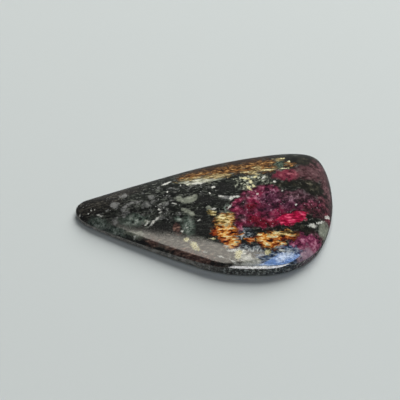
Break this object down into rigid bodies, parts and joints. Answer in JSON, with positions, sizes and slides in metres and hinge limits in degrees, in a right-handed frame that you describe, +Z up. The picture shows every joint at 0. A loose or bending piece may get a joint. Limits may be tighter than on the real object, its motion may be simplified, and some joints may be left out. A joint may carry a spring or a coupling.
{
  "type": "eudialyte cabochon",
  "caption": "Hand-cut, drop-shaped cabochon of eudialyte rock with a flat lapped back, a thin upright girdle and a polished dome that is thicker at the blunt end.",
  "frame": {"origin": "middle of the bounding box at the flat back, which the stone rests on", "axes": "+X along the stone from its tip to its blunt end, +Z up out of the flat back through the dome"},
  "size_m": [0.045, 0.0272, 0.0053],
  "materials": {
    "polished_rock": "polished dome and girdle, fine-ground back; black-green matrix with crimson, gold and grey-green grains"
  },
  "bodies": {
    "root": {"cabochon": "polished_rock"}
  },
  "joints": []
}
